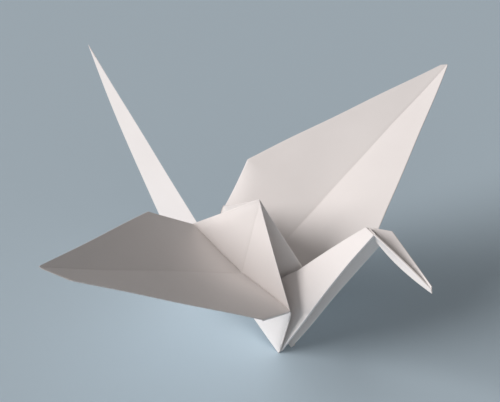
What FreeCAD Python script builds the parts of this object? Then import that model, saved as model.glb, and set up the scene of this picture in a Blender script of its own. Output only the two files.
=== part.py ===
import FreeCAD, Part
import os
from math import sin, cos, tan, radians
from FreeCAD import Vector

# Millimetres. +X points to the head, +Y to the crane's left wing, +Z up.
# The origin lies on the table, midway between the four bottom corners, called feet here,
# where the neck and the tail leave the body.

# Sheet
sheet_side = 150.0
half_side = sheet_side / 2
layer = 0.15                     # 0.1 mm paper and the air between folded layers
narrow_angle = 12.0              # each leg edge folded in, seen from the leg's tip
wing_fold_rise = 8.0             # wing crease above the notch between the legs
seam_gap = 0.24                  # between two raw edges that meet along a middle line

# Layers of paper in each part
hump_layers = 1
wing_layers = 2
plate_layers = 3                 # outer plates of the lower body, and the folded-over corners
limb_layers = 4                  # each half of the neck, the head and the tail

seam_depth = 1.4                 # how much paper a wing's seam leaves above it, in layers

# Steps from one nested part to the next
skin_step = 2 * layer            # inner leg layers inside the outer plates, at the feet
limb_step = 5 * layer            # neck and tail inside the outer plates, at the feet
limb_shift = 4 * layer           # neck and tail apart from the skin at their roots
belly_turn = 8 * layer           # width of the outer plates' turned-up edge at the feet
seam_margin = 6 * layer          # bare run before a seam starts

# Body
apex = Vector(5.0, -3.0, 39.0)
hinge_right = Vector(2.5, -3.5, 15.5)
hinge_left = Vector(2.0, 5.0, 14.5)
foot_neck_right = Vector(17.0, -3.0, 0)
foot_neck_left = Vector(17.5, 2.0, 0)
foot_tail_right = Vector(-15.5, -3.5, 0)
foot_tail_left = Vector(-16.5, 4.0, 0)
belly_out = 3.5                  # how far the outer layers stand off the middle at the belly
apex_depth = 0.2                 # share of the body's height that the closed tip of the hump takes

# Hinge directions, as rise and turn away from X in degrees
hinge_neck_right = (4.0, -3.0)
hinge_tail_right = (15.0, -5.0)
hinge_neck_left = (10.0, 1.0)
hinge_tail_left = (22.0, 1.0)

# Wings
wing_rise_right = 29.0
wing_rise_left = 33.0
wing_sweep = 1.0
flap_tip = 4.0                   # folded-over root corner ends this far from the wing's middle line

# How far from the sheet's corner each long wing fold starts, along the raw edge
tip_miss_neck_right = 7.2
tip_miss_tail_right = 0.4
tip_miss_neck_left = 0.4
tip_miss_tail_left = 1.6

# Neck, head and tail
neck_root = Vector(3.0, 0, 4.5)
neck_vertex_drop = 4.5           # reverse fold below the notch, on the flat leg
neck_rise = 55.0
neck_turn = 7.0
head_length = 21.0
head_rise = -8.0
head_turn = -3.0
head_inset = 0.12                # the head's root lies inside the neck's layers
head_spine_sag = Vector(-0.2, -1.2, -1.0)
cheek_right_bow = Vector(0.1, 0.6, 0.5)
cheek_right = Vector(35.5, 1.0, 47.0)
cheek_left = Vector(36.0, 6.5, 45.5)
tail_root = Vector(-1.5, 0, 5.5)
tail_vertex_drop = 3.0
tail_rise = 32.0

# How deep the inner side may lie below a sharp corner
deepest = 4.0
deepest_root = 2.0
deepest_point = 0.5
damping = 1e-4                   # keeps the inner corner of a nearly flat fold in place


def toward(rise, turn, forward=1):
    """Unit vector at a rise and a turn, forward (+X) or backward (-X)."""
    flat = cos(radians(rise))
    return Vector(forward * flat * cos(radians(turn)), flat * sin(radians(turn)), sin(radians(rise)))


def normal(a, b, c):
    n = (b - a).cross(c - a)
    return n.normalize()


def solve_offset(planes):
    """Smallest shift that moves every plane (normal, depth) in by its depth, by least squares."""
    m = FreeCAD.Matrix()
    m.A11 = m.A22 = m.A33 = damping
    side = Vector(0, 0, 0)
    for n, depth in planes:
        m.A11 += n.x * n.x
        m.A12 += n.x * n.y
        m.A13 += n.x * n.z
        m.A21 += n.y * n.x
        m.A22 += n.y * n.y
        m.A23 += n.y * n.z
        m.A31 += n.z * n.x
        m.A32 += n.z * n.y
        m.A33 += n.z * n.z
        side -= n * depth
    return m.inverse().multVec(side)


def folded(points, facets, reach=None, fixed=None):
    """One solid of paper facets, given by points on the outer side and (corner names, layers).

    reach limits how deep a corner's inner point lies, and fixed gives that point itself.
    """
    triangles = []
    for corners, layers in facets:
        for i in range(1, len(corners) - 1):
            triangles.append((corners[0], corners[i], corners[i + 1], layers * layer))
    planes = {}
    for a, b, c, depth in triangles:
        n = normal(points[a], points[b], points[c])
        for k in (a, b, c):
            planes.setdefault(k, []).append((n, depth))
    inner = {}
    for k, found in planes.items():
        shift = solve_offset(found)
        limit = (reach or {}).get(k, deepest)
        if shift.Length > limit:
            shift = shift * (limit / shift.Length)
        inner[k] = (fixed or {}).get(k, points[k] + shift)
    loops = []
    edges = set()
    for a, b, c, depth in triangles:
        loops.append((points[a], points[b], points[c]))
        loops.append((inner[a], inner[c], inner[b]))
        edges.update(((a, b), (b, c), (c, a)))
    for a, b in edges:
        if (b, a) not in edges:
            loops.append((points[a], inner[a], points[b]))
            loops.append((points[b], inner[a], inner[b]))
    faces = [Part.Face(Part.makePolygon([p, q, r, p])) for p, q, r in loops]
    shell = Part.makeShell(faces)
    shell.sewShape()
    solid = Part.makeSolid(shell)
    if solid.Volume < 0:
        solid.reverse()
    return solid.removeSplitter()


def slit(start, end, outward, top, bottom):
    """Solid as wide as a seam, along a line, from a height top to a height bottom along outward."""
    along = end - start
    half = along.cross(outward).normalize() * (seam_gap / 2)
    corners = [start + outward * top + half, start + outward * top - half,
               start + outward * bottom - half, start + outward * bottom + half]
    return Part.Face(Part.makePolygon(corners + corners[:1])).extrude(along)


# Flat leg and wing pattern
slope = tan(radians(narrow_angle))
eighth = tan(radians(22.5))
hinge_half = (half_side + wing_fold_rise) * slope
wing_length = half_side - wing_fold_rise
widest = half_side * (eighth - slope) / (eighth + slope)
wing_corner = (half_side * eighth * (1 - widest / half_side), widest - wing_fold_rise)

p = {"O": apex}
sides = (("R", -1, hinge_right, wing_rise_right, (hinge_neck_right, tip_miss_neck_right),
          (hinge_tail_right, tip_miss_tail_right)),
         ("L", 1, hinge_left, wing_rise_left, (hinge_neck_left, tip_miss_neck_left),
          (hinge_tail_left, tip_miss_tail_left)))
for s, y, mid, rise, neck_half, tail_half in sides:
    crease = Vector(cos(radians(rise)) * sin(radians(wing_sweep)),
                    y * cos(radians(rise)) * cos(radians(wing_sweep)), sin(radians(rise)))
    p["H" + s] = mid
    p["T" + s] = mid + crease * wing_length
    for end, (d, miss), forward in (("n", neck_half, 1), ("t", tail_half, -1)):
        ray = toward(d[0], d[1], forward)
        across = (ray - crease * ray.dot(crease)).normalize()
        p["H" + s + end] = mid + ray * hinge_half
        p["W" + s + end] = mid + across * wing_corner[0] + crease * wing_corner[1]
        p["K" + s + end] = p["T" + s] + (across - crease) * (miss * cos(radians(45)))

p["N"] = neck_root
p["S"] = tail_root
p["FRn"] = foot_neck_right
p["FLn"] = foot_neck_left
p["FRt"] = foot_tail_right
p["FLt"] = foot_tail_left
p["B"] = neck_root + toward(neck_rise, neck_turn) * (half_side - neck_vertex_drop - head_length)
p["CR"] = cheek_right
p["CL"] = cheek_left
p["X"] = p["B"] + toward(head_rise, head_turn) * head_length
p["M"] = (p["B"] + p["X"]) * 0.5 + head_spine_sag
p["CM"] = (cheek_right + p["X"]) * 0.5 + cheek_right_bow
p["E"] = tail_root + toward(tail_rise, 0, -1) * (half_side - tail_vertex_drop)

# Skin: hump, wings, gussets and inner leg layers
skin = dict(p)
for k in ("FRn", "FLn", "FRt", "FLt"):
    inward = skin_step if p[k].y < 0 else -skin_step
    skin[k] = p[k] + Vector(0, inward, skin_step)
for k in ("N", "S"):
    skin[k] = p[k] + Vector(0, 0, skin_step)
hump = [("O", "HR", "HRn"), ("O", "HRt", "HR"), ("O", "HLn", "HL"), ("O", "HL", "HLt"),
        ("O", "HRn", "N"), ("O", "N", "HLn"), ("O", "S", "HRt"), ("O", "HLt", "S"),
        ("HRn", "FRn", "N"), ("HLn", "N", "FLn"), ("HRt", "S", "FRt"), ("HLt", "FLt", "S")]
wings = [("HR", "TR", "KRn", "WRn", "HRn"), ("HR", "HRt", "WRt", "KRt", "TR"),
         ("HL", "HLn", "WLn", "KLn", "TL"), ("HL", "TL", "KLt", "WLt", "HLt")]
facets = [(f, hump_layers) for f in hump] + [(f, wing_layers) for f in wings]
under_apex = apex + ((skin["N"] + skin["S"]) * 0.5 - apex) * apex_depth
pieces = [folded(skin, facets, fixed={"O": under_apex})]

# Outer leg layers, standing off the inner ones and turned up under the belly
seams = []
for s, y in (("R", -1), ("L", 1)):
    q = {}
    for k in ("", "n", "t"):
        q["H" + k] = p["H" + s + k] - Vector(0, 0, layer)
    q["Fn"] = p["F" + s + "n"]
    q["Ft"] = p["F" + s + "t"]
    q["Qn"] = Vector(p["N"].x, y * belly_out, p["N"].z)
    q["Qt"] = Vector(p["S"].x, y * belly_out, p["S"].z)
    down = ((q["Qn"] + q["Qt"]) * 0.5 - q["H"]).normalize()
    q["K"] = q["H"] + down * wing_fold_rise
    fold_in = Vector(0, -y * belly_turn, 0)
    q["Gn"] = q["Fn"] + fold_in
    q["Gt"] = q["Ft"] + fold_in
    q["Nn"] = Vector(p["N"].x, y * skin_step, p["N"].z)
    q["Nt"] = Vector(p["S"].x, y * skin_step, p["S"].z)
    faces = [("H", "K", "Qn"), ("H", "Qn", "Fn"), ("H", "Fn", "Hn"),
             ("H", "Qt", "K"), ("H", "Ft", "Qt"), ("H", "Ht", "Ft"),
             ("Qn", "Nn", "Gn", "Fn"), ("Qt", "Ft", "Gt", "Nt")]
    if y > 0:
        faces = [tuple(reversed(f)) for f in faces]
    pieces.append(folded(q, [(f, plate_layers) for f in faces]))
    outward = Vector(0, y, 0)
    seams.append(slit(q["H"] + down * seam_margin, q["K"] + down * layer, outward, layer, -layer))

# Corners folded over onto the underside of each wing root
for s, mid in (("R", hinge_right), ("L", hinge_left)):
    crease = (p["T" + s] - mid).normalize()
    for end in ("n", "t"):
        root, corner = p["H" + s + end], p["W" + s + end]
        up = normal(mid, p["T" + s], corner)
        if up.z < 0:
            up = up * -1
        near = mid + (root - mid).normalize() * flap_tip
        inset = (mid - root).normalize() * layer
        drop = up * -layer
        clear = crease * (wing_layers * layer)
        flap = {"a": root + inset + clear + drop, "b": corner + inset + drop, "c": near + clear + drop}
        order = ("a", "b", "c") if normal(flap["a"], flap["b"], flap["c"]).z > 0 else ("a", "c", "b")
        pieces.append(folded(flap, [(order, plate_layers)]))
    upward = crease.cross(p["W" + s + "n"] - p["W" + s + "t"]).normalize()
    if upward.z < 0:
        upward = upward * -1
    seams.append(slit(mid + crease * seam_margin, p["T" + s] + crease, upward,
                      -seam_depth * layer, -seam_margin))

# Neck, head and tail, each two halves joined along its spine
limb = dict(p)
for k in ("FRn", "FLn", "FRt", "FLt"):
    inward = limb_step if p[k].y < 0 else -limb_step
    limb[k] = p[k] + Vector(0, inward, layer)
limb["N"] = p["N"] + Vector(limb_shift, 0, layer)
limb["S"] = p["S"] + Vector(-limb_shift, 0, layer)
neck = [("N", "FRn", "CR", "B"), ("N", "B", "CL", "FLn")]
pieces.append(folded(limb, [(f, limb_layers) for f in neck], {"N": deepest_root}))
head = {"X": p["X"], "M": p["M"], "CM": p["CM"]}
throat = (p["B"] + p["CR"] + p["CL"]) * (1 / 3)
into_neck = toward(neck_rise, neck_turn) * -limb_shift
for k in ("B", "CR", "CL"):
    head[k] = p[k] + (throat - p[k]) * head_inset + into_neck
beak = [("M", "X", "CM"), ("M", "CM", "CR"), ("M", "CR", "B"), ("M", "B", "CL"), ("M", "CL", "X")]
pieces.append(folded(head, [(f, limb_layers) for f in beak], {"X": deepest_point}))
tail = [("S", "E", "FRt"), ("S", "FLt", "E")]
pieces.append(folded(limb, [(f, limb_layers) for f in tail], {"S": deepest_root, "E": deepest_point}))

crane = pieces[0].fuse(pieces[1:]).cut(seams).Solids[0]
os.makedirs("parts", exist_ok=True)
crane.exportStep("parts/crane_sheet.step")
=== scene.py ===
import bpy
import numpy as np
from math import radians, sin, cos, tan
from mathutils import Matrix, Vector


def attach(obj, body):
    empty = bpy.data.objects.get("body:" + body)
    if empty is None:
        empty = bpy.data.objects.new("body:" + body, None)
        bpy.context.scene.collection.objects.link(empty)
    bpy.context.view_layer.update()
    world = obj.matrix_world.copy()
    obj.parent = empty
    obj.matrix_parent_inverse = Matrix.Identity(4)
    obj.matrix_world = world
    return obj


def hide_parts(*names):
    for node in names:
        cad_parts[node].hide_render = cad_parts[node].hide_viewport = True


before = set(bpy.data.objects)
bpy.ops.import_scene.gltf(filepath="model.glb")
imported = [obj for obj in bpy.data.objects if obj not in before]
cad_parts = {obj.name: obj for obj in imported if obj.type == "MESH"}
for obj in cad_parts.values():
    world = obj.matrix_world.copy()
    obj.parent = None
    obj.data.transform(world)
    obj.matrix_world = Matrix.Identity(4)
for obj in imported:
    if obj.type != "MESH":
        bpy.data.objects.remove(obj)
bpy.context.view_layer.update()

# Sizes below are in millimetres. +X points to the head, +Y to the crane's left wing, +Z up.
MILLIMETRE = 0.001


def spot(*xyz):
    """Point or direction from its three coordinates."""
    return np.array(xyz, float)


# Sheet and flat pattern
sheet_side = 150.0
half_side = sheet_side / 2
paper = 0.1
pitch = 0.15                     # one paper layer and the air beside it
narrow_angle = 12.0              # each leg edge folded in, seen from the leg's tip
wing_fold_rise = 8.0             # wing crease above the notch between the legs
slope = tan(radians(narrow_angle))
eighth = tan(radians(22.5))
hinge_half = (half_side + wing_fold_rise) * slope
wing_length = half_side - wing_fold_rise
widest = half_side * (eighth - slope) / (eighth + slope)
corner_across = half_side * eighth * (1 - widest / half_side)
corner_along = widest - wing_fold_rise
corner_share = cos(radians(45))  # the sheet's corner is square, so a fold across it runs at 45 degrees

# Body. Its four bottom corners are called feet.
apex = spot(5.0, -3.0, 39.0)
neck_root = spot(3.0, 0, 4.5)
tail_root = spot(-1.5, 0, 5.5)
belly_out = 2.2                  # the plates stand off the middle at the belly
belly_lift = 0.5

# Each side: Y sign, hinge middle, hinge directions (rise, turn) to neck and tail, wing rise, feet,
# how far the wing's two edge folds miss the sheet's corner, the droop of the two root corners,
# and how deep the hinge crease is pressed in. Pairs go neck end first, then tail end.
sides = {
    "right": dict(y=-1, hinge=spot(2.5, -3.5, 15.5), neck_dir=(4, -3), tail_dir=(15, -5), rise=29.0,
                  foot_neck=spot(17.0, -3.0, 0), foot_tail=spot(-15.5, -3.5, 0),
                  miss=(6.8, 0.4), droop=(0.0, 0.0), groove=0.3),
    "left": dict(y=1, hinge=spot(2.0, 5.0, 14.5), neck_dir=(10, 1), tail_dir=(22, 1), rise=33.0,
                 foot_neck=spot(17.5, 2.0, 0), foot_tail=spot(-16.5, 4.0, 0),
                 miss=(0.4, 1.6), droop=(0.2, 1.3), groove=0.06),
}

# Neck
neck_vertex_drop = 4.5           # reverse fold below the notch, on the flat leg
neck_rise = 55.0
neck_turn = 7.0
neck_bow = spot(0, 0, 0.65)
neck_rim_bow = spot(-0.28, -0.1, 0.14)
neck_swell = 1.5                 # the spine is lifted where the body's corner lies under it
neck_swell_at = 0.26
neck_swell_width = 0.15

# Head
head_length = 21.0
head_rise = -8.0
head_turn = -3.0
head_spine_sag = spot(-0.12, -0.75, -0.6)
cheek_right = spot(35.5, 1.0, 47.0)
cheek_left = spot(36.0, 6.5, 45.5)
cheek_right_bow = spot(0.03, 0.15, 0.12)
beak_drop = spot(0.4, 0, -0.55)
beak_right_end = spot(-0.4, -0.1, 0.7)          # the beak's end is blunt: its two edges stop short
beak_left_end = spot(-0.7, 0.35, 1.05)

# Tail
tail_vertex_drop = 2.2
tail_rise = 32.0
tail_rim_bow = spot(-0.35, -0.75, -0.35)

# Wings and the corners folded under their roots
wing_sweep = 1.0
seam = 0.12                      # half the gap between two raw edges that meet
wing_depth = 2 * pitch           # from the top to the layer with the seam
tip_short = 0.2                  # the under layer stops short of the wing's tip and shoulder
shoulder_short = 0.1
flap_depth = 4 * pitch           # from the wing's top to the folded-over corner
flap_clear = 2.5 * pitch         # that corner keeps this clear of the hinge
flap_corner_in = 0.05
flap_tip = 4.9                   # and ends this far from the wing's middle line
droop_reach = 5.5
droop_lean = 0.8                 # under 1 puts the deepest droop nearer to the hinge

# How the layers nest in the lower body
skin_inset = 3 * pitch           # inner leg layers inside the plates, at the feet
skin_lift = 2 * pitch
plate_wall = 2 * pitch
belly_turn = 8 * pitch           # width of the plates' turned-up edge at the feet
limb_inset = 5 * pitch           # neck and tail inside the plates, at the feet
limb_shift = 4 * pitch           # neck and tail apart from the skin at their roots
neck_strip = 4                   # depth of the inner strips in layers, below zero for a limb opened out
head_strip = -2
tail_strip = 4
strip_edge = 0.25                # a strip's raw edge, as a share of the way from spine to rim
strip_share = 0.4                # a strip lies at most this share of the local gap inside

# Width of the rounded turns at the folds
fold_lobe = 0.08
limb_lobe = 0.06
limb_lobe_share = 0.1            # of the local gap, where that is less
pocket_lobe = 0.03

# Pressed creases: how far the paper moves, within what distance of the line, and how much it greys the
# paper there, partly as wear and partly as painted crease shade
hinge_reach = 0.5
wing_line_depth, wing_line_reach, wing_line_wear_and_shade = 0.03, 0.5, 0.25
hump_line_depth, hump_line_reach, hump_line_wear_and_shade = 0.02, 0.4, 0.25
hump_edge_depth, hump_edge_reach = 0.5, 3.0
gusset_edge_push, gusset_edge_reach = spot(0.75, 0, 0.2), 2.5
plate_edge_depth, plate_edge_reach, plate_edge_wear_and_shade = 0.5, 1.6, 0.1

# Slack of hand-folded paper, as long low waves
slack_length = 28.0
slack_height = 0.09
slack_from = 5.0                 # the waves come in between the floor and this height
slack_rates = ((1.1, 0.7), (0.9, 1.3), (1.2, 0.8))      # uneven, so that the waves don't repeat

# Grids, with cosine spacing that is dense beside the folds
facet_cells = 12
limb_cells = 18
single_rows = 3                  # across the rounded turn of a single fold, and of a double one
double_rows = 9
weld_digits = 3                  # points that agree to a thousandth of a millimetre are one
close = (1 - np.cos(np.pi * np.linspace(0, 1, facet_cells + 1))) / 2
fine = (1 - np.cos(np.pi * np.linspace(0, 1, limb_cells + 1))) / 2


def toward(rise, turn, forward=1):
    """Unit vector at a rise and a turn in degrees, forward (+X) or backward (-X)."""
    flat = cos(radians(rise))
    return spot(forward * flat * cos(radians(turn)), flat * sin(radians(turn)), sin(radians(rise)))


def unit(v):
    """The vector divided by its length."""
    return v / np.linalg.norm(v)


def straight(a, b, steps=close):
    """Edge from a to b: a plus t times the way to b, for each t in steps."""
    return a + steps[:, None] * (b - a)


def bowed(a, b, sag, steps=close):
    """Edge from a to b that bows out by sag: the straight edge plus 4 t (1 - t) times sag."""
    return straight(a, b, steps) + (4 * steps * (1 - steps))[:, None] * sag


def ruled(first, second, steps=close):
    """Ruled surface: at (i, j) the point step j of the way from the first edge to the second, at i."""
    t = steps[None, :, None]
    return first[:, None] * (1 - t) + second[:, None] * t


def slack(points):
    """Slight waviness of hand-folded paper: each axis moves by a sine of the others, none at the floor."""
    x, y, z = points.T / slack_length * 2 * np.pi
    others = ((y, z), (x, z), (x, y))
    waves = np.stack([np.sin(a * p + b * q) for (a, b), (p, q) in zip(slack_rates, others)], axis=-1)
    return slack_height * waves * np.clip(points[:, 2:] / slack_from, 0, 1)


def edge_turn(outer, inner, out, lobe=fold_lobe, folds=1):
    """Rounded turn from one edge to another: t of the way across plus a lobe of |sin(folds pi t)|."""
    t = np.linspace(0, 1, single_rows if folds == 1 else double_rows)
    swell = lobe * np.abs(np.sin(folds * np.pi * t))[None, :, None]
    return ruled(outer, inner, t) + swell * out


class Folded:
    """Grids of one folded sheet, each counter-clockwise from its outer side, and its pressed creases."""

    def __init__(self):
        self.grids = []
        self.creases = []

    def add(self, grid, flip=False):
        """Keeps a grid, turned over where flip is true."""
        self.grids.append(grid[::-1] if flip else grid)

    def facet(self, a, b, c, d=None, flip=False, bend=None):
        """Straight ruled facet over three or four corners, then bent."""
        last = a if d is None else d
        grid = ruled(straight(a, b), straight(last, c))
        self.add(grid if bend is None else bend(grid), flip)

    def press(self, a, b, push, reach, wear_and_shade=1.0):
        """Pressed crease from a to b: a point moves by push times (1 - d / reach) squared, d its distance.

        It fades out over reach at both ends. The last argument, from 0 to 1, is how strongly it greys the
        paper there: partly wear, partly painted crease shade.
        """
        line = b - a
        length = np.linalg.norm(line)
        line = line / length

        def weight(points):
            along = (points - a) @ line
            away = np.linalg.norm(points - a - along[:, None] * line, axis=1)
            ends = np.clip(np.minimum(along, length - along) / reach, 0, 1)
            return np.clip(1 - away / reach, 0, 1) ** 2 * ends

        self.creases.append((weight, push, wear_and_shade))

    def mesh(self, name):
        """Presses the creases, welds the grids at their shared edges and makes the mesh, in metres."""
        points, quads = [], []
        start = 0
        for g in self.grids:
            n, m = g.shape[:2]
            index = start + np.arange(n * m).reshape(n, m)
            quads.append(np.stack([index[:-1, :-1], index[1:, :-1], index[1:, 1:], index[:-1, 1:]],
                                  axis=-1).reshape(-1, 4))
            points.append(g.reshape(-1, 3))
            start += n * m
        points = np.concatenate(points)
        # greying along the creases for the material: partly wear, partly painted crease shade
        worn_and_shaded = np.zeros(len(points))
        moved = slack(points)
        for weight, push, wear_and_shade in self.creases:
            near = weight(points)
            worn_and_shaded = np.maximum(worn_and_shaded, wear_and_shade * near)
            moved = moved + near[:, None] * push
        points = points + moved
        first, welded = np.unique(np.round(points, weld_digits), axis=0,
                                  return_index=True, return_inverse=True)[1:]
        quads = welded.reshape(-1)[np.concatenate(quads)]
        same = quads == np.roll(quads, -1, axis=1)
        whole = quads[same.sum(axis=1) == 0]
        poles = quads[same.sum(axis=1) == 1]
        poles = poles[~same[same.sum(axis=1) == 1]].reshape(-1, 3)
        made = bpy.data.meshes.new(name)
        made.from_pydata((points[first] * MILLIMETRE).tolist(), [], whole.tolist() + poles.tolist())
        made.validate()
        made.polygons.foreach_set("use_smooth", np.ones(len(made.polygons), bool))
        made.attributes.new("crease_wear_and_shade", "FLOAT", "POINT").data.foreach_set("value", worn_and_shaded[first])
        return made


def wing(folded, s):
    """One wing: smooth top, two under layers that meet at a seam, and the root corners folded under.

    It leaves in s the hinge ends and the under layers' root edges, which the body continues.
    """
    y = s["y"]
    flip = y > 0
    rise, sweep = radians(s["rise"]), radians(wing_sweep)
    crease = spot(cos(rise) * sin(sweep), y * cos(rise) * cos(sweep), sin(rise))
    mid = s["hinge"]
    tip = mid + crease * wing_length
    middle = mid + crease * corner_along
    s["under"] = {}
    halves = (("neck", s["neck_dir"], 1, s["miss"][0], s["droop"][0]),
              ("tail", s["tail_dir"], -1, s["miss"][1], s["droop"][1]))
    for end, direction, forward, miss, droop in halves:
        ray = toward(direction[0], direction[1], forward)
        across = unit(ray - crease * (ray @ crease))
        up = np.cross(crease, across)
        up = up if up[2] > 0 else -up
        root = mid + ray * hinge_half
        corner = mid + across * corner_across + crease * corner_along
        shoulder = tip + (across - crease) * miss * corner_share
        turned = flip != (forward < 0)
        inward = unit(np.cross(up, unit(corner - root)))
        inward = inward if inward @ (mid - root) > 0 else -inward

        def bend(grid, root=root, inward=inward, up=up, droop=droop):
            """Root corner curled down: droop times (1 - d / reach) squared, d the distance from its edge.

            Along the wing it follows a half wave of sine, zero at the hinge and at the wide corner.
            """
            d = np.clip((grid - root) @ inward, 0, droop_reach)
            along = np.clip(((grid - mid) @ crease) / corner_along, 0, 1)
            fall = droop * (1 - d / droop_reach) ** 2 * np.sin(np.pi * along ** droop_lean)
            return grid - up * fall[..., None]

        s["root_" + end] = root
        folded.press(mid, tip, up * -wing_line_depth, wing_line_reach, wing_line_wear_and_shade)
        folded.facet(mid, middle, corner, root, turned, bend)
        folded.facet(middle, tip, shoulder, corner, turned)

        gap = across * seam
        lower = [p - up * wing_depth for p in (mid + gap, middle + gap, corner, root)]
        ends = (tip + gap - crease * tip_short, shoulder - crease * shoulder_short)
        far = [p - up * wing_depth for p in ends]
        folded.facet(lower[0], lower[1], lower[2], lower[3], not turned, bend)
        folded.facet(lower[1], far[0], far[1], lower[2], not turned)
        out = unit(np.cross(up, unit(shoulder - corner)))
        out = out if out @ across > 0 else -out
        folded.add(edge_turn(straight(corner, shoulder), straight(lower[2], far[1]), out), turned)

        off = crease * flap_clear
        flap = [p - up * flap_depth for p in (root + off, corner - across * flap_corner_in,
                                              mid + ray * flap_tip + off)]
        folded.facet(flap[0], flap[1], flap[2], None, turned, bend)
        fold = bend(straight(root, corner))
        folded.add(edge_turn(fold, bend(straight(flap[0], flap[1])), -inward), turned)
        s["under"][end] = (lower[0], lower[3])


def body(folded):
    """Hump, gussets and inner leg layers of the skin, and each side's outer plates down to the feet."""
    folded.press(apex, neck_root, gusset_edge_push, gusset_edge_reach, 0)
    for s in sides.values():
        flip = s["y"] > 0
        mid, neck_end, tail_end = s["hinge"], s["root_neck"], s["root_tail"]
        inward = spot(0, -s["y"], 0)
        lift = spot(0, 0, skin_lift)
        foot_neck = s["foot_neck"] + inward * skin_inset + lift
        foot_tail = s["foot_tail"] + inward * skin_inset + lift
        neck_low = neck_root + lift
        tail_low = tail_root + lift
        crest = unit(np.cross(neck_end - apex, tail_end - apex))
        crest = crest if crest[2] > 0 else -crest
        # The hinge creases grey the paper at full strength: painted shade of the valley fold, with some
        # wear
        folded.press(neck_end, mid, crest * -s["groove"], hinge_reach)
        folded.press(mid, tail_end, crest * -s["groove"], hinge_reach)
        folded.press(apex, tail_end, crest * -hump_edge_depth, hump_edge_reach, 0)
        folded.press(apex, mid, crest * -hump_line_depth, hump_line_reach, hump_line_wear_and_shade)
        folded.facet(apex, mid, neck_end, None, flip)
        folded.facet(apex, tail_end, mid, None, flip)
        folded.facet(apex, neck_end, neck_low, None, flip)
        folded.facet(apex, tail_low, tail_end, None, flip)
        folded.facet(neck_end, foot_neck, neck_low, None, flip)
        folded.facet(tail_end, tail_low, foot_tail, None, flip)
        s.update(leg_neck=foot_neck, leg_tail=foot_tail, neck_low=neck_low, tail_low=tail_low)

        (seam_neck, end_neck), (seam_tail, end_tail) = s["under"]["neck"], s["under"]["tail"]
        belly_neck = spot(neck_root[0], s["y"] * belly_out, neck_root[2] + belly_lift)
        belly_tail = spot(tail_root[0], s["y"] * belly_out, tail_root[2] + belly_lift)
        notch = mid + unit((belly_neck + belly_tail) / 2 - mid) * wing_fold_rise
        apart = spot(seam, 0, 0)
        plates = ((seam_neck, end_neck, belly_neck, s["foot_neck"], notch + apart, neck_root, 1),
                  (seam_tail, end_tail, belly_tail, s["foot_tail"], notch - apart, tail_root, -1))
        for top, end, belly, foot, split, root, forward in plates:
            turned = flip if forward > 0 else not flip
            folded.facet(top, split, belly, None, turned)
            folded.facet(top, belly, foot, None, turned)
            folded.facet(top, foot, end, None, turned)
            folded.press(end, foot, inward * plate_edge_depth, plate_edge_reach, plate_edge_wear_and_shade)
            inside = foot + inward * belly_turn
            hidden = spot(root[0], s["y"] * plate_wall, root[2])
            folded.facet(belly, hidden, inside, foot, turned)
            back = [p + inward * plate_wall for p in (top, foot, end)]
            folded.facet(back[0], back[1], back[2], None, not turned)
            out = spot(forward, 0, 0)
            folded.add(edge_turn(straight(foot, end), straight(back[1], back[2]), out), turned)


def limb(folded, spine, right, left, layers):
    """A leg folded in half: clean outside over the spine, and a strip inside each half at a double fold.

    spine, right and left are edges from the root to the far end, seen along it. The strip lies layers
    times the pitch inside, or a share of the local gap between the halves where that is less, so it
    thins out at the tip.
    """
    gap = np.linalg.norm(right - left, axis=1, keepdims=True)
    depth = abs(layers) * pitch
    half = limb_cells // 2
    for rim, sign, flip in ((right, 1, False), (left, -1, True)):
        side = rim - spine
        n = unit(np.cross(side[half], spine[-1] - spine[0])) * sign * np.sign(layers)
        inner_rim = rim - n * np.minimum(depth, strip_share * gap)
        raw_edge = spine + side * strip_edge - n * np.minimum(depth, strip_share * strip_edge * gap)
        lobe = np.minimum(limb_lobe, limb_lobe_share * gap)[:, :, None]
        folded.add(ruled(spine, rim), not flip)
        folded.add(ruled(raw_edge, inner_rim), flip)
        folded.add(edge_turn(rim, inner_rim, unit(side[half]), lobe, 2), not flip)


def pocket(folded, low, foot, limb_root, limb_foot, flip):
    """Bottom fold between a leg's inner layer and the limb that comes out of the pocket."""
    down = spot(0, 0, -1)
    folded.add(edge_turn(straight(foot, low), straight(limb_foot, limb_root), down, pocket_lobe), flip)


def limb_feet(end):
    """The limb's two corners at the feet of one end, neck or tail, set inside the plates."""
    lift = spot(0, 0, pitch)
    return [s["foot_" + end] + spot(0, -s["y"] * limb_inset, 0) + lift for s in sides.values()]


def neck_and_head(folded):
    """Neck with a bowed spine, opened at the cheeks, and the head folded back down over it.

    The spine's swell is neck_swell times (1 - u squared), u the distance from its middle over its width.
    """
    root = neck_root + spot(limb_shift, 0, pitch)
    right_foot, left_foot = limb_feet("neck")
    bend = neck_root + toward(neck_rise, neck_turn) * (half_side - neck_vertex_drop - head_length)
    beak = bend + toward(head_rise, head_turn) * head_length + beak_drop
    for s, limb_foot in zip(sides.values(), (right_foot, left_foot)):
        pocket(folded, s["neck_low"], s["leg_neck"], root, limb_foot, s["y"] < 0)
    swell = neck_swell * np.clip(1 - ((fine - neck_swell_at) / neck_swell_width) ** 2, 0, 1)
    spine = bowed(root, bend, neck_bow, fine) + swell[:, None] * spot(0, 0, 1)
    right = bowed(right_foot, cheek_right, neck_rim_bow, fine)
    limb(folded, spine, right, straight(left_foot, cheek_left, fine), neck_strip)
    spine = bowed(bend, beak, head_spine_sag, fine)
    right = bowed(cheek_right, beak + beak_right_end, cheek_right_bow, fine)
    limb(folded, spine, right, straight(cheek_left, beak + beak_left_end, fine), head_strip)


def tail(folded):
    """Tail: one long limb to a sharp end, its right edge bowed. It points back, so left comes first."""
    root = tail_root + spot(-limb_shift, 0, pitch)
    right_foot, left_foot = limb_feet("tail")
    end = tail_root + toward(tail_rise, 0, -1) * (half_side - tail_vertex_drop)
    for s, limb_foot in zip(sides.values(), (right_foot, left_foot)):
        pocket(folded, s["tail_low"], s["leg_tail"], root, limb_foot, s["y"] > 0)
    right = bowed(right_foot, end, tail_rim_bow, fine)
    limb(folded, straight(root, end, fine), straight(left_foot, end, fine), right, tail_strip)


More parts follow.
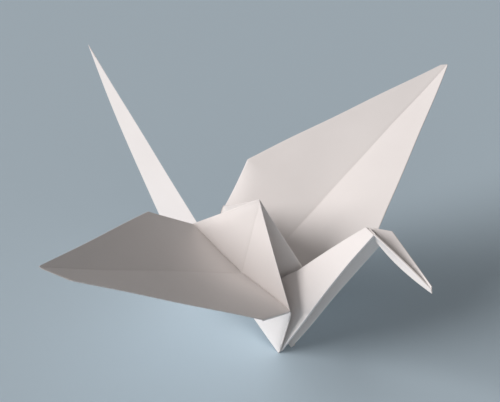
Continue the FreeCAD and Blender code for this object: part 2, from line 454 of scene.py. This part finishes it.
# Materials
def noise(tree, place, scale, detail):
    """Noise on the object's own coordinates."""
    made = tree.nodes.new("ShaderNodeTexNoise")
    made.inputs["Scale"].default_value = scale
    made.inputs["Detail"].default_value = detail
    tree.links.new(place.outputs["Object"], made.inputs["Vector"])
    return made.outputs["Fac"]


def white_paper():
    """Uncoated white paper: faint cloudy tone, a fibre bump, soft gloss, greyer along the creases (partly
    wear, partly painted crease shade).
    """
    material = bpy.data.materials.new("white_paper")
    material.use_nodes = True
    tree = material.node_tree
    link = tree.links.new
    shader = tree.nodes["Principled BSDF"]
    shader.inputs["Specular IOR Level"].default_value = 0.3
    place = tree.nodes.new("ShaderNodeTexCoord")
    tone = tree.nodes.new("ShaderNodeMix")
    tone.data_type = "RGBA"
    tone.inputs["A"].default_value = (0.84, 0.81, 0.795, 1)
    tone.inputs["B"].default_value = (0.88, 0.852, 0.84, 1)
    link(noise(tree, place, 120.0, 4.0), tone.inputs["Factor"])
    # Darker and rougher along the creases: part handling wear, part painted shade in the folds
    wear_and_shade = tree.nodes.new("ShaderNodeAttribute")
    wear_and_shade.attribute_name = "crease_wear_and_shade"
    worn_and_shaded = tree.nodes.new("ShaderNodeMix")
    worn_and_shaded.data_type = "RGBA"
    worn_and_shaded.blend_type = "MULTIPLY"
    worn_and_shaded.inputs["B"].default_value = (0.80, 0.78, 0.77, 1)
    link(wear_and_shade.outputs["Fac"], worn_and_shaded.inputs["Factor"])
    link(tone.outputs["Result"], worn_and_shaded.inputs["A"])
    link(worn_and_shaded.outputs["Result"], shader.inputs["Base Color"])
    rough = tree.nodes.new("ShaderNodeMapRange")
    rough.inputs["To Min"].default_value = 0.62
    rough.inputs["To Max"].default_value = 0.8
    link(wear_and_shade.outputs["Fac"], rough.inputs["Value"])
    link(rough.outputs["Result"], shader.inputs["Roughness"])
    bump = tree.nodes.new("ShaderNodeBump")
    bump.inputs["Strength"].default_value = 0.12
    bump.inputs["Distance"].default_value = 0.05 * MILLIMETRE
    link(noise(tree, place, 3500.0, 3.0), bump.inputs["Height"])
    link(bump.outputs["Normal"], shader.inputs["Normal"])
    return material


def pale_table():
    """Plain, matt, pale blue-grey."""
    material = bpy.data.materials.new("pale_table")
    material.use_nodes = True
    shader = material.node_tree.nodes["Principled BSDF"]
    shader.inputs["Base Color"].default_value = (0.56, 0.69, 0.78, 1)
    shader.inputs["Roughness"].default_value = 0.8
    shader.inputs["Specular IOR Level"].default_value = 0.2
    return material


def show(name, data):
    """New object with this data, in the scene."""
    made = bpy.data.objects.new(name, data)
    bpy.context.scene.collection.objects.link(made)
    return made


# The crane
crane = Folded()
for each in sides.values():
    wing(crane, each)
body(crane)
neck_and_head(crane)
tail(crane)
sheet = show("folded_sheet", crane.mesh("folded_sheet"))
sheet.data.materials.append(white_paper())
wall = sheet.modifiers.new("paper", "SOLIDIFY")
wall.thickness = paper * MILLIMETRE
wall.offset = -1
soft = sheet.modifiers.new("soft folds", "SUBSURF")
soft.levels = 1
soft.render_levels = 1
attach(sheet, "root")
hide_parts("crane_sheet")

# Floor
floor_half = 1500 * MILLIMETRE
floor_mesh = bpy.data.meshes.new("floor")
floor_corners = [(-floor_half, -floor_half, 0), (floor_half, -floor_half, 0),
                 (floor_half, floor_half, 0), (-floor_half, floor_half, 0)]
floor_mesh.from_pydata(floor_corners, [], [(0, 1, 2, 3)])
floor = show("floor", floor_mesh)
floor.data.materials.append(pale_table())


# Light: a low, wide key from behind the crane's right side, a weak fill from its front, and an even room
def sun(name, energy, width, colour, from_where):
    """Distant soft light, width in degrees."""
    data = bpy.data.lights.new(name, "SUN")
    data.energy = energy
    data.angle = radians(width)
    data.color = colour
    show(name, data).rotation_euler = Vector(-unit(from_where)).to_track_quat("-Z", "Y").to_euler()


room_colour = (1.0, 0.955, 0.94)
sun("key", 2.7, 38, room_colour, spot(-0.45, -0.79, 0.42))
sun("fill", 0.36, 70, (1.0, 0.96, 0.94), spot(0.75, -0.55, 0.35))
world = bpy.data.worlds.new("room")
world.use_nodes = True
world.node_tree.nodes["Background"].inputs["Color"].default_value = (*room_colour, 1)
world.node_tree.nodes["Background"].inputs["Strength"].default_value = 0.175
bpy.context.scene.world = world

# Camera, at the photograph's viewing angle
picture_width = 500
focal_pixels = 1361.77
sensor = 36.0
eye = spot(173.17, -180.14, 226.58) * MILLIMETRE
look = unit(spot(-0.5499, 0.5698, -0.6107))
right_hand = spot(0.6692, 0.7381, 0.0860)
right_hand = unit(right_hand - look * (right_hand @ look))
above = np.cross(right_hand, look)
camera_data = bpy.data.cameras.new("camera")
camera_data.sensor_width = sensor
camera_data.lens = focal_pixels * sensor / picture_width
camera_data.clip_start = 10 * MILLIMETRE
camera = show("camera", camera_data)
facing = Matrix((right_hand, above, -look)).transposed().to_4x4()
camera.matrix_world = Matrix.Translation(Vector(eye)) @ facing
bpy.context.scene.camera = camera
bpy.context.scene.view_settings.view_transform = "Standard"
